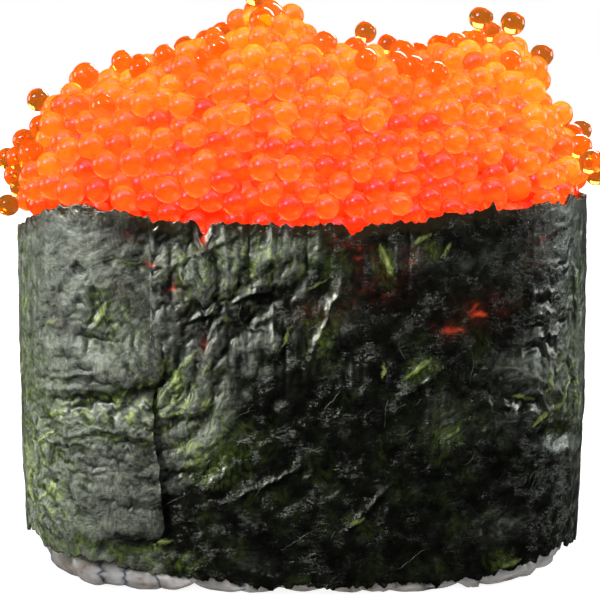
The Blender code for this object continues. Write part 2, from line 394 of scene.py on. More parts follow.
# Single bright green leaves in the sheet: slope in degrees, and how bright.
LEAVES = (
    (7.4, 31.2, 1.9, 0.42, -66, 0.9), (10.6, 33, 1.3, 0.3, 35, 0.6), (12.8, 32, 0.9, 0.25, 75, 0.4),
    (10.3, 21.4, 1.9, 0.34, 38, 0.7), (7.2, 21.3, 0.8, 0.18, 82, 0.7), (1.2, 29, 1.5, 0.18, 30, 0.5),
    (-1.5, 24.4, 1.3, 0.25, 60, 0.6), (24.8, 18.6, 1.5, 0.3, 60, 0.9), (26.6, 17.4, 1.4, 0.3, -50, 0.9),
    (23.6, 17, 1.1, 0.25, 20, 0.8), (25.5, 21, 1.3, 0.22, 75, 0.6), (-30.5, 32.4, 1.2, 0.4, 55, 0.8),
    (-31, 28, 1.5, 0.3, 80, 0.6), (-23, 25, 1.4, 0.25, 25, 0.6), (-18, 26.2, 1.5, 0.4, 60, 0.7),
    (-16, 26.5, 1, 0.22, 100, 0.5), (-16.2, 31, 2.6, 0.16, -4, 0.4), (-11.5, 20.3, 1.5, 0.42, 70, 0.8),
    (-10.2, 22.2, 1.4, 0.3, 45, 0.7), (-8.6, 21.6, 1.2, 0.25, 60, 0.6), (-11.8, 17.2, 1.3, 0.3, 20, 0.7),
    (-9.5, 13, 1.6, 0.25, 35, 0.6), (-7.8, 15, 1.5, 0.25, 38, 0.6), (-22.6, 16.6, 1.3, 0.3, 12, 0.8),
    (-24, 14.2, 1.7, 0.25, 48, 0.8), (-26, 13.6, 1.8, 0.28, -58, 0.8), (-26.5, 10.2, 2, 0.3, 50, 0.7),
    (-28, 8, 1.6, 0.4, -65, 0.7), (-24.2, 8.6, 1.6, 0.22, 55, 0.7), (-29.5, 19.5, 1.4, 0.3, 70, 0.6),
    (-5, 32.2, 1.2, 0.3, 75, 0.6), (-2.6, 31.6, 1.3, 0.25, -70, 0.6), (-13, 5, 1.4, 0.25, 10, 0.5),
    (19.2, 2.8, 1.3, 0.3, 20, 0.4), (13.6, 15.4, 1.2, 0.22, 40, 0.5), (5, 7.4, 1.2, 0.2, 36, 0.5),
    (22.4, 19.6, 1.2, 0.3, 70, 1), (27.2, 19, 1.3, 0.3, -60, 1), (24, 20.6, 1, 0.25, 15, 0.9),
    (28.4, 16, 1.6, 0.3, 75, 0.8), (21.6, 16.2, 1.2, 0.25, 30, 0.8), (28.2, 24.5, 1.6, 0.3, 80, 0.7),
    (27, 28.5, 1.6, 0.3, 95, 0.6), (19.8, 18.4, 1.6, 0.22, -20, 0.6),
)


def places(table, u, z):
    """What each row of a table says last, and the points seen from its place in units of its half-widths."""
    for middle, height, half_u, half_z, degrees, amount in table:
        yield amount, *turned(u - middle, z - height, degrees, half_u, half_z)


def named_relief(u, z):
    """The sheet's single bulges and folds, in millimetres."""
    u, z = u + 0.35 * noise(u, z, 1.6, 91, 2), z + 0.35 * noise(u, z, 1.6, 92, 2)
    total = np.zeros_like(u)
    for out, a, b in places(BULGES, u, z):
        total += out * np.exp(-(a**2 + b**2) ** 1.4)
    for u0, z0, u1, z1, half, out in FOLDS:
        run = (u1 - u0) ** 2 + (z1 - z0) ** 2
        t = np.clip(((u - u0) * (u1 - u0) + (z - z0) * (z1 - z0)) / run, 0, 1)
        away = np.hypot(u - u0 - t * (u1 - u0), z - z0 - t * (z1 - z0))
        total += out * np.exp(-away / half) * (0.35 + 0.65 * np.sin(np.pi * (0.08 + 0.84 * t)))
    return total


def leafy(u, z):
    """How far each point is into one of the single leaves, 0 to 1."""
    u = u + 0.25 * noise(u, z, 1.0, 95, 2)
    z = z + 0.25 * noise(u, z, 1.0, 96, 2)
    total = np.zeros_like(u)
    for amount, a, b in places(LEAVES, u, z):
        total = np.maximum(total, amount * np.clip(2.5 * (1 - np.abs(a) ** 1.5 - np.abs(b)), 0, 1))
    return total


def dust_and_painted_shading(u, z):
    """How much paler or darker the dry part is painted: dust and painted light, and painted shade in the
    hollows.
    """
    u = u + 0.7 * noise(u, z, 1.8, 87, 2)
    z = z + 0.7 * noise(u, z, 1.8, 88, 2)
    return sum(amount * np.exp(-((a**2 + b**2) ** 1.5)) for amount, a, b in places(DUST_AND_PAINTED_SHADING, u, z))


def spots(table, u, z):
    """How strongly a table of spots shows at each point."""
    total = 0.0
    for at_u, at_z, half_u, half_z, amount in table:
        total = total + amount * bell(u, at_u, half_u) * bell(z, at_z, half_z)
    return total


def dryness(u, z):
    """How dry and dull the sheet is: its left half and most of the back are, and the rest is wet."""
    limit = np.interp(z, (5.0, 9.0, 13.5, 18.0, 24.0, 28.0, 32.0), (-13.5, -12.8, -8.0, -6.5, -3.0, -0.5, 1.5))
    left = smooth(1.5, -1.5, u - limit + 2.4 * noise(u, z, (2.6, 2.0), 81, 3))
    behind = smooth(28.0, 36.0, np.abs(u)) * (0.35 + 0.9 * noise(u, z, (6.0, 5.0), 82, 2))
    dried = spots(DRY, u, z) * (0.8 + 0.8 * noise(u, z, (1.5, 1.2), 83, 3))
    return np.clip(np.maximum(left, behind) + dried, 0, 1)


def growth(u, z):
    """How much too wide the sheet is, as a tensor (uu, uz, zz) at each point."""
    elsewhere = smooth(30.0, 36.0, np.abs(u))
    wide = 0.008 + (0.012 + 0.10 * elsewhere) * smooth(-0.1, 0.4, noise(u, z, (8.0, 7.0), 41, 2))
    slope = np.radians(35 + 110 * noise(u, z, (12.0, 10.0), 42))
    sin, cos = np.sin(slope), np.cos(slope)
    total = np.stack([wide * sin**2, -wide * sin * cos, wide * cos**2])
    for middle, height, half_u, half_z, degrees, amount in CRUSHED:
        part = amount * bell(u, middle, half_u) * bell(z, height, half_z)
        sin, cos = math.sin(math.radians(degrees)), math.cos(math.radians(degrees))
        total += part * np.array([sin**2, -sin * cos, cos**2])[:, None, None]
    return total * (0.20 + 0.80 * dryness(u, z))


def creases(u, z, long, wide, seed):
    """Sharp ridges with smooth hollows between them, which run the way the sheet has been crushed, 0 to 1."""
    grow = growth(u, z)
    total = weights = 0.0
    for k, degrees in enumerate(range(0, 180, 30)):
        sin, cos = math.sin(math.radians(degrees)), math.cos(math.radians(degrees))
        across = grow[0] * sin**2 - 2 * grow[1] * sin * cos + grow[2] * cos**2
        weight = across**4
        total = total + weight * cells(*turned(u, z, degrees, long, wide), seed + k) ** 2
        weights = weights + weight
    return 1.6 * total / weights


def rest_lengths(base, s, z, grow, dr, dc):
    """The distances at rest from each point to the one dr rows and dc columns on."""
    du, dz, step = (np.roll(values, (-dr, -dc), axis=(0, 1)) - values for values in (s, z, base))
    stretch = grow[0] * du**2 + 2 * grow[1] * du * dz + grow[2] * dz**2
    return np.linalg.norm(step, axis=-1) * np.sqrt(1 + 2 * stretch / (du**2 + dz**2 + 1e-12))


def pull(points, rest, dr, dc, stiff, only_push=False):
    """Move the pairs of points that are dr rows and dc columns apart towards their rest distance."""
    rows, columns = points.shape[:2]
    step = dc or dr
    for phase in range(2):
        pick = np.arange((columns if dc else rows) - step)
        pick = pick[pick // step % 2 == phase]
        if dc:
            a = slice(max(0, -dr), rows - max(0, dr)), pick
            b = slice(max(0, dr), rows + min(0, dr)), pick + dc
        else:
            a, b = (pick,), (pick + dr,)
        gap = points[b] - points[a]
        far = np.sqrt((gap * gap).sum(axis=-1))
        wrong = (far - rest[a]) / (far + 1e-9) * 0.5 * stiff
        if only_push:
            wrong = np.minimum(wrong, 0)
        move = gap * wrong[..., None]
        points[a] += move
        points[b] -= move


# How the strip is crushed, coarse to fine: the grid's step, the share of the extra width, and how
# many rounds of pulling.
CRUSHING = ((1.0, 0.42, 240), (0.5, 0.66, 220), (0.25, 0.80, 150))
FINE_STEP = 0.145
PLAIN_STEP = 0.36
# How far the fine grid goes on each side of the middle of the front, and where the front piece is cut.
FINE_REACH = 34
FRONT_CUT = 33.0


def buckled():
    """How far the points of the strip shift when it is laid round the block too wide and squeezed until it
    buckles."""
    shift = None
    for step, share, rounds in CRUSHING:
        columns = int(PERIMETER / step) + 1
        up = np.linspace(0, 1, int((NORI_TOP - NORI_FOOT) / step) + 1)
        s, z = strip_grid(np.linspace(SEAM, SEAM + PERIMETER, columns), up)
        u = np.mod(s, PERIMETER) - FRONT
        stuck = 0.35 + 0.2 * smooth(22.0, 16.0, z) * smooth(3.0, 7.0, z)
        base = wall(s, z, -np.where(s < SEAM + PERIMETER / 2, tucked(s) * stuck, 0.0))
        outward = facing(s)
        bed = -0.5 + 0.35 * noise(u, z, (2.6, 2.2), 44) + 0.2 * noise(u, z, (6.0, 5.0), 45)
        lid = np.where(s - SEAM < 3.0, 0.1, 0.75 + 0.3 * noise(u, z, (6.0, 5.0), 46))
        dry = dryness(u, z)
        if shift is None:
            start = 0.30 * noise(u, z, (5.0, 4.0), 47, 3) * (0.4 + 0.6 * dry) - 0.1
            points = base + outward * start[..., None]
        else:
            points = base + resampled(shift, up, np.linspace(0, 1, columns))
            small = 0.05 * noise(u, z, 2.4 * step, 48) * (0.2 + 0.8 * dry)
            points += outward * small[..., None]
        grow = growth(u, z) * share
        home = points.copy()
        ways = ((0, 1, 0.9), (1, 0, 0.9), (1, 1, 0.5), (-1, 1, 0.5))
        links = [(rest_lengths(base, s, z, grow, dr, dc), dr, dc, stiff) for dr, dc, stiff in ways]
        for dr, dc in ((0, 2), (2, 0)):
            links.append((0.9 * rest_lengths(base, s, z, grow, dr, dc), dr, dc, 0.25, True))
        for _ in range(rounds):
            for link in links:
                pull(points, *link)
            out = ((points - base) * outward).sum(axis=-1)
            kept = np.clip(out * 0.996, bed, lid)
            points += outward * (kept - out)[..., None]
            points += 0.004 * (home - points)
            points[:, 0] = home[:, 0]
        shift = points - base
    return points - wall(s, z, 0 * z)


class Sheet:
    """The crushed strip, as a fine grid of points round the block, with its look at each point."""

    def __init__(self):
        front_right = np.arange(SEAM, FRONT + FINE_REACH, FINE_STEP)
        front_left = np.arange(SEAM + PERIMETER, FRONT + PERIMETER - FINE_REACH, -FINE_STEP)[::-1]
        back = np.arange(front_right[-1] + PLAIN_STEP, front_left[0] - 0.5 * PLAIN_STEP, PLAIN_STEP)
        self.along = np.concatenate([front_right, back, front_left])
        self.up = np.linspace(0, 1, int((NORI_TOP - NORI_FOOT) / FINE_STEP) + 1)
        s, z = strip_grid(self.along, self.up)
        self.points = wall(s, z, 0 * z) + resampled(buckled(), self.up, (self.along - SEAM) / PERIMETER)
        self.outward = facing(s)
        self.finish(s, z)

    def finish(self, s, z):
        """Single folds, sharp creases, leafy layers and a lifted free end, and where the sheet is green or dry,
        with painted light and shade on the dry part and a painted glow where the roe's light would shine
        through."""
        u = np.mod(s, PERIMETER) - FRONT
        free_end = SEAM + PERIMETER - s
        level = np.maximum(smooth(17.0, 20.0, z), smooth(7.0, 4.5, z))
        offset = ((self.points - wall(s, z, 0 * z)) * self.outward).sum(axis=-1)
        close = level * smooth(5.0, 0.0, free_end) * (offset[:, :1] - offset[:, -1:])
        shown = np.maximum(level, smooth(0.0, 1.5, s - SEAM))
        wu = u + 0.7 * noise(u, z, 2.4, 51, 2) + 0.15 * noise(u, z, 0.7, 52)
        wz = z + 0.7 * noise(u, z, 2.4, 53, 2) + 0.15 * noise(u, z, 0.7, 54)
        grow = growth(u, z)
        crush = np.clip((grow[0] + grow[2]) / 0.20 - 0.08, 0.0, 1.2)
        crush = np.clip(crush + 0.12 * noise(u, z, (3.5, 3.0), 72, 2), 0.03, 1.2)
        crush = crush * (1 - 0.7 * bell(u, -20.5, 4.5) * bell(z, 29.5, 5.0))
        layers = 0.0
        for n in range(5):
            edge = noise(wu / (3.4 + n) + 7.7 * n, wz / (2.2 + 0.6 * n), 1, 63 + n, 2)
            layers = layers + smooth(-0.02, 0.02, edge)
        wide, fine = creases(wu, wz, 3.2, 1.25, 140), creases(wu, wz, 2.0, 0.50, 160)
        tone, leaf = dust_and_painted_shading(u, z), leafy(u, z)
        relief = named_relief(u, z) + 0.025 * layers
        relief = relief + crush * (0.24 * wide + 0.20 * fine - 0.12) + 0.3 * np.minimum(tone, 0.0) + 0.14 * leaf
        self.points += self.outward * (close + shown * relief)[..., None]
        self.points += self.outward * (0.12 * smooth(3.0, 0.0, free_end) * (1 - level))[..., None]
        ragged = (1 - level) * (0.4 * noise(z, 0 * z, 2.2, 79, 3) + 0.07 * (17.0 - z))
        self.points[..., 0] += ragged * smooth(6.0, 0.0, free_end)
        normal = np.cross(np.gradient(self.points, axis=1), np.gradient(self.points, axis=0))
        self.normal = normal / (np.linalg.norm(normal, axis=-1, keepdims=True) + 1e-12)
        near, broad = (((self.points - blur(self.points, n)) * self.normal).sum(axis=-1) for n in (14, 90))

        stand = near / 0.10 + broad / 0.30
        ridge = smooth(0.45, 0.95, fine + 0.5 * wide) * np.clip(crush, 0, 1)
        raised = smooth(-1.1, 0.6, stand + 1.1 * noise(wu, wz, (1.5, 1.1), 84, 4))
        patchy = 0.30 * noise(wu, wz, (1.6, 1.3), 89, 3)
        # The table's paler rows add dust and painted light, and its darker rows add painted shade.
        dust_and_painted_shading_share = 0.55 * np.maximum(tone, 0) + 0.9 * np.minimum(tone, 0)
        dull = dryness(u, z)
        # The dry share sets the pale bloom, roughness and bumps. It is painted paler where the sheet stands out
        # and along its sharp ridges, as painted light, and darker in its hollows, as painted shade, with patchy
        # dust.
        dry = np.clip(dull * (0.10 + 0.45 * raised + 0.35 * ridge + dust_and_painted_shading_share + patchy), 0, 1)
        streaks = noise(wu, wz, (0.5, 0.9), 76, 3)
        behind = smooth(30.0, 36.0, np.abs(u)) * smooth(-0.05, 0.25, noise(u, z, (4.5, 4.0), 75, 2))
        place = spots(GREEN, u, z) + 0.12 + 0.45 * behind
        green = np.clip(place * (0.2 + 1.1 * bell(stand, -0.5, 0.8) + 1.6 * streaks), 0, 1)
        green *= smooth(0.12, 0.45, place + 0.6 * noise(u, z, 3.0, 77, 2))
        lime = np.clip(np.maximum(1.3 * place * ridge * smooth(-0.1, 0.3, streaks), leaf), 0, 1)
        patchy = 0.75 + 1.0 * noise(wu, wz, (0.9, 0.7), 78, 3)
        # Painted glow: a reddish colour where the roe's light would shine through the sheet, less where it
        # stands out.
        glow = np.clip(spots(PAINTED_GLOW, u, z) * patchy, 0, 1) * smooth(2.5, 0.0, stand)
        edge = nori_top(self.along)[None] - z + 0.5 * noise(u, z, 0.8, 85, 2)
        rim = smooth(1.5, 0.5, edge) * (0.7 + 0.3 * smooth(-0.2, 0.3, noise(u, z, 4.0, 86)))
        self.looks = {"green": green, "lime": lime, "glow": glow, "dry": dry, "dull": dull, "rim": rim}

    def at(self, s, z):
        """Points on the sheet and normals there, at s along it and height z."""
        c = np.interp(s, self.along, np.arange(len(self.along)))
        corner = self.along[np.clip(c.astype(int), 0, len(self.along) - 2)]
        foot, top = nori_foot(corner), nori_top(corner)
        r = np.clip((z - foot) / (top - foot), 0, 1) * (len(self.up) - 1)
        return between(self.points, r, c), between(self.normal, r, c)


def zip_edges(a, b):
    """Triangles between two rows of vertex numbers that start and end beside each other."""
    faces = []
    i = j = 0
    while i < len(a) - 1 or j < len(b) - 1:
        if j == len(b) - 1 or (i < len(a) - 1 and (i + 1) / (len(a) - 1) <= (j + 1) / (len(b) - 1)):
            faces.append((a[i], a[i + 1], b[j]))
            i += 1
        else:
            faces.append((a[i], b[j + 1], b[j]))
            j += 1
    return faces


def make_nori(sheet, material):
    """The strip in a front piece, a back piece and one for the outer end. Each has a fine outer side, a plainer
    inner side and a ragged rim between them."""
    hidden = np.arange(SEAM - LAP, SEAM - 0.1, 0.8)
    s, z = strip_grid(hidden, sheet.up)
    outer = np.concatenate([wall(s, z, -tucked(hidden)[None] - 0.1 + 0 * z), sheet.points], axis=1)
    outward = np.concatenate([facing(s), sheet.outward], axis=1)
    along = np.concatenate([hidden, sheet.along])
    s, z = strip_grid(along, sheet.up)
    offset = ((outer - wall(s, z, 0 * z)) * outward).sum(axis=-1)
    inner = blur(outer + outward * (lowest(offset, 9) - offset - NORI_THICKNESS)[..., None], 3)
    inner[[0, -1]] = (outer - outward * NORI_THICKNESS)[[0, -1]]
    rows = np.unique(np.round(np.linspace(0, 1, 30) * (len(sheet.up) - 1))).astype(int)
    unseen = np.zeros((len(sheet.up), len(hidden)))
    looks = {name: np.concatenate([unseen, values], axis=1) for name, values in sheet.looks.items()}
    cuts = [0, *np.searchsorted(along - FRONT, (FRONT_CUT, PERIMETER - FRONT_CUT)), len(along) - 1]
    for number, (start, end) in enumerate(zip(cuts[:-1], cuts[1:]), 1):
        part = slice(start, end + 1)
        front, back = outer[:, part], inner[rows][:, part]
        outside = np.arange(front[..., 0].size).reshape(front.shape[:2])
        inside = outside.size + np.arange(back[..., 0].size).reshape(back.shape[:2])
        faces = grid_faces(outside) + grid_faces(inside[:, ::-1])
        faces += grid_faces(np.stack([inside[0], outside[0]])) + grid_faces(np.stack([outside[-1], inside[-1]]))
        faces += zip_edges(outside[:, 0], inside[:, 0])
        faces += [f[::-1] for f in zip_edges(outside[:, -1], inside[:, -1])]
        verts = np.concatenate([front.reshape(-1, 3), back.reshape(-1, 3)])
        seen = {k: np.concatenate([v[:, part].ravel(), v[rows][:, part].ravel()]) for k, v in looks.items()}
        mesh = mesh_piece(f"nori_sheet_{number}", verts, faces, material, "nori", seen).data
        # The upright borders are sharp, so that a piece's cut side doesn't bend the shading of its face.
        border = np.isin(np.arange(len(verts)), outside[:, [0, -1]])
        ends = np.empty(2 * len(mesh.edges), np.int32)
        mesh.edges.foreach_get("vertices", ends)
        sharp = border[ends.reshape(-1, 2)].all(axis=1)
        mesh.attributes.new("sharp_edge", "BOOLEAN", "EDGE").data.foreach_set("value", sharp)


def make_fibres(sheet, material, count, seed):
    """Fine threads of seaweed that lie on the sheet: tubes with a flat, four-sided section."""
    rng = np.random.default_rng(seed)
    stations, sides = 12, 4
    t = np.linspace(-0.5, 0.5, stations)[None, :]
    start = rng.uniform(SEAM + 1, SEAM + PERIMETER - 1, (count, 1))
    height = rng.uniform(NORI_FOOT + 1.5, NORI_TOP - 1.5, (count, 1))
    length = rng.gamma(3.0, 0.7, (count, 1))
    angle = np.radians(rng.normal(38, 32, (count, 1))) + rng.normal(0, 0.35, (count, 1)) * t
    wiggle = 0.04 * length * np.sin(t * rng.uniform(3, 9, (count, 1)) + rng.uniform(0, 6, (count, 1)))
    s = start + length * t * np.cos(angle) - wiggle * np.sin(angle)
    z = height + length * t * np.sin(angle) + wiggle * np.cos(angle)
    s = np.clip(s, SEAM + 0.3, SEAM + PERIMETER - 0.3)
    z = np.clip(z, NORI_FOOT + 1.0, NORI_TOP - 0.6)
    width = (rng.uniform(0.012, 0.03, (count, 1)) * (1.02 - (2 * t) ** 4))[..., None]
    middle, outward = sheet.at(s, z)
    middle = middle + outward * 0.02
    ahead = np.gradient(middle, axis=1)
    ahead /= np.linalg.norm(ahead, axis=-1, keepdims=True) + 1e-9
    side = np.cross(outward, ahead)
    side /= np.linalg.norm(side, axis=-1, keepdims=True) + 1e-9
    thick = np.cross(ahead, side) * (width * 0.8)
    verts = np.stack([middle + side * width, middle + thick, middle - side * width, middle - thick], axis=2)
    numbers = np.arange(count * stations * sides).reshape(count, stations, sides)
    after = np.roll(numbers, -1, axis=2)
    faces = quads(numbers[:, :-1], after[:, :-1], after[:, 1:], numbers[:, 1:])
    faces += numbers[:, 0, ::-1].tolist() + numbers[:, -1].tolist()
    mesh_piece("nori_fibres", verts.reshape(-1, 3), faces, material, "nori")


# ---------------------------------------------------------------- the roe's shape


def cad_surface(node):
    """A CAD node's surface in millimetres: a tree for nearest points, the vertices and the faces."""
    mesh = frame["nodes"][node].data
    verts = [v.co * MM_PER_METRE for v in mesh.vertices]
    faces = [p.vertices[:] for p in mesh.polygons]
    return BVHTree.FromPolygons(verts, faces), np.array(verts), faces


def nearest(tree, points):
    """The outward normals at the surface points nearest to each point, and how deep it is inside."""
    found = [tree.find_nearest(Vector(p)) for p in points]
    at, normal = (np.array([f[k] for f in found]) for k in (0, 1))
    return normal, -((points - at) * normal).sum(axis=1)


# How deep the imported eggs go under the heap's outline.
SHELL = 5.0


def pack_eggs(seed):
    """Eggs of roe, packed without order in a shell under the heap's outline: their middles and radii, the
    outline's normals there and their depths. The nori's upper edge keeps them in."""
    rng = np.random.default_rng(seed)
    tree, verts, _ = cad_surface("roe")
    low, high = verts.min(axis=0), verts.max(axis=0)
    low[2] = NORI_TOP - 3.2
    scattered = rng.uniform(low, high, (30000, 3))
    _, depth = nearest(tree, scattered)
    shell = (depth > 0.8) & (depth < SHELL + 0.4)
    volume = shell.mean() * np.prod(high - low)
    middle = scattered[shell][: int(volume * PACKING / (4 / 3 * math.pi * EGG_RADIUS**3))].copy()
    count = len(middle)
    radius = EGG_RADIUS * np.clip(rng.normal(1.0, 0.06, count), 0.85, 1.15)
    room = np.where(rng.random(count) < 0.4, rng.uniform(-1.2, -0.2, count), rng.uniform(-0.2, 0.9, count))
    edge_s = np.arange(0, PERIMETER, 0.8)
    inside = np.full_like(edge_s, -0.5)
    edge = [wall(edge_s, nori_top(edge_s) - drop, inside) for drop in (0.1, 0.9, 1.8, 2.7, 3.6)]
    edge = np.concatenate(edge)
    all_radius = np.concatenate([radius, np.full(len(edge), 0.3)])
    for step in range(70):
        everything = np.concatenate([middle, edge])
        kd = KDTree(len(everything))
        for n, p in enumerate(everything):
            kd.insert(p, n)
        kd.balance()
        close = (kd.find_range(p, 2.25 * EGG_RADIUS) for p in middle)
        pairs = [(n, m) for n, found in enumerate(close) for _, m, _ in found if m > n]
        a, b = np.array(pairs).T
        gap = everything[a] - everything[b]
        far = np.linalg.norm(gap, axis=1) + 1e-9
        overlap = np.maximum(0.0, TOUCH * (all_radius[a] + all_radius[b]) - far)
        fixed = b >= count
        push = gap / far[:, None] * (overlap * np.where(fixed, 1.0, 0.5))[:, None]
        move = np.zeros_like(middle)
        np.add.at(move, a, push)
        np.add.at(move, b[~fixed], -push[~fixed])
        middle += move * 0.9
        normal, depth = nearest(tree, middle)
        held = np.where(middle[:, 2] < NORI_TOP + 0.3, 0.8, room)
        outside = np.maximum(0.0, radius + held - depth)
        too_deep = np.maximum(0.0, depth - SHELL)
        settle = 0.05 * (step < 55)
        middle -= normal * (outside - 0.5 * too_deep - settle)[:, None]
    return middle, radius, *nearest(tree, middle)


# Where loose eggs lie on the heap: x, y and z of a spot's middle, its spread, and how many lie there.
LOOSE = (
    (-28, -3, 37.5, 1.6, 6), (-27.5, 4, 37, 1.8, 4), (-25.5, 0, 41, 1, 1), (-3.5, -0.5, 53.5, 1.2, 3),
    (6, 0, 50, 1, 1), (18, -1, 51, 2, 2), (24, 0, 47, 1.2, 1), (27.5, -3, 38.5, 1.6, 4),
    (27, 4.5, 38, 1.6, 3),
)


def drop_loose(middle, radius, seed):
    """The eggs with loose ones added, brought in from outside until each one touches the heap."""
    rng = np.random.default_rng(seed)
    added, sizes = [], []
    for x, y, z, spread, count in LOOSE:
        for _ in range(count):
            aim = np.array([x, y, z]) + rng.normal(0, spread, 3)
            own = EGG_RADIUS * rng.uniform(0.88, 1.02)
            spine = np.array([aim[0] * 0.8, 0.0, NORI_TOP - 4.0])
            way = (aim - spine) / np.linalg.norm(aim - spine)
            reach = TOUCH * (radius + own)
            toward = (middle - spine) @ way
            across = np.linalg.norm(middle - spine - toward[:, None] * way, axis=1)
            met = across < reach
            spot = spine + way * (toward[met] + np.sqrt(reach[met] ** 2 - across[met] ** 2)).max()
            apart = all(np.linalg.norm(spot - p) > 1.9 * EGG_RADIUS for p in added)
            if spot[2] > NORI_TOP - 0.5 and apart:
                added.append(spot)
                sizes.append(own)
    return np.concatenate([middle, added]), np.concatenate([radius, sizes])


# The side of an egg that is painted lighter and yellower: painted light where the light that has passed
# through it would gather.
PAINTED_LIGHT_SIDE = np.array([0.15, -0.40, -0.90])


def make_eggs(name, eggs, levels, material, seed):
    """One joined mesh of many eggs, each a little out of round: eggs has their middles, radii and colour
    shares, random tone with painted light.
    """
    middle, radius, tint = eggs
    rng = np.random.default_rng(seed)
    bm = bmesh.new()
    bmesh.ops.create_icosphere(bm, subdivisions=levels, radius=1.0)
    ball = np.array([v.co[:] for v in bm.verts])
    triangles = np.array([[v.index for v in f.verts] for f in bm.faces])
    bm.free()
    squeeze = 1 + rng.normal(0, 0.025, (len(middle), 1, 3))
    verts = middle[:, None, :] + ball[None] * squeeze * radius[:, None, None]
    faces = (triangles[None] + (np.arange(len(middle)) * len(ball))[:, None, None]).reshape(-1, 3)
    # Each vertex's colour share: the egg's own, plus painted light on the side where the light through it would
    # gather.
    looks = {"tint": np.clip(tint[:, None] + 0.5 * smooth(0.2, 0.95, ball @ PAINTED_LIGHT_SIDE), 0, 1)}
    mesh_piece(name, verts.reshape(-1, 3), faces.tolist(), material, "roe", looks).visible_shadow = False


def make_core(name, node, shrink, voxel, bumps, material):
    """A closed, bumpy solid inside a CAD node's outline."""
    _, verts, faces = cad_surface(node)
    piece = mesh_piece(name, verts, faces, material, node)
    remesh = ("REMESH", {"mode": "VOXEL", "voxel_size": voxel * MM})
    for kind, settings in (remesh, ("DISPLACE", {"strength": -shrink * MM, "mid_level": 0.0}), remesh):
        modifier = piece.modifiers.new(kind.lower(), kind)
        for key, value in settings.items():
            setattr(modifier, key, value)
    baked = bpy.data.meshes.new_from_object(piece.evaluated_get(bpy.context.evaluated_depsgraph_get()))
    piece.modifiers.clear()
    piece.data = baked
    points, normals = (np.array([getattr(v, key) for v in baked.vertices]) for key in ("co", "normal"))
    points *= MM_PER_METRE
    push = bumps * (np.abs(lattice(points / (1.6 * EGG_RADIUS), 71)) - 0.25)
    baked.vertices.foreach_set("co", ((points - normals * push[:, None]) * MM).ravel())
    baked.shade_smooth()
    baked.update()


# ---------------------------------------------------------------- the rice's shape

# Rings of grains round the block's foot: height, and how far in from the wrap's outside.
GRAIN_RINGS = ((1.15, 1.25), (3.0, 2.3), (5.0, 2.6))
GRAIN_SPACING = 3.0
# Half of a grain's length, width and thickness, each with its spread.
GRAIN_SIZE = ((2.7, 0.3), (1.3, 0.1), (1.1, 0.08))


def one_grain(rings, around):
    """A grain's vertices and faces, with its long axis from -1 to 1 along x and blunt ends."""
    a = np.linspace(0, 2 * np.pi, around, endpoint=False)
    t = np.linspace(-1, 1, rings + 2)[1:-1]
    profile = ((1 - np.abs(t) ** 2.4) ** 0.5 * (1 - 0.12 * t))[:, None]
    sides = np.stack([t[:, None] + 0 * a, profile * np.cos(a), profile * np.sin(a)], axis=-1).reshape(-1, 3)
    grain = np.concatenate([[(-1.0, 0, 0)], sides, [(1.0, 0, 0)]])
    numbers = 1 + np.arange(rings * around).reshape(rings, around)
    after = np.roll(numbers, -1, axis=1)
    faces = quads(numbers[:-1], after[:-1], after[1:], numbers[1:])
    faces += [(0, b, a) for a, b in zip(numbers[0], after[0])]
    faces += [(len(grain) - 1, a, b) for a, b in zip(numbers[-1], after[-1])]
    return grain, faces


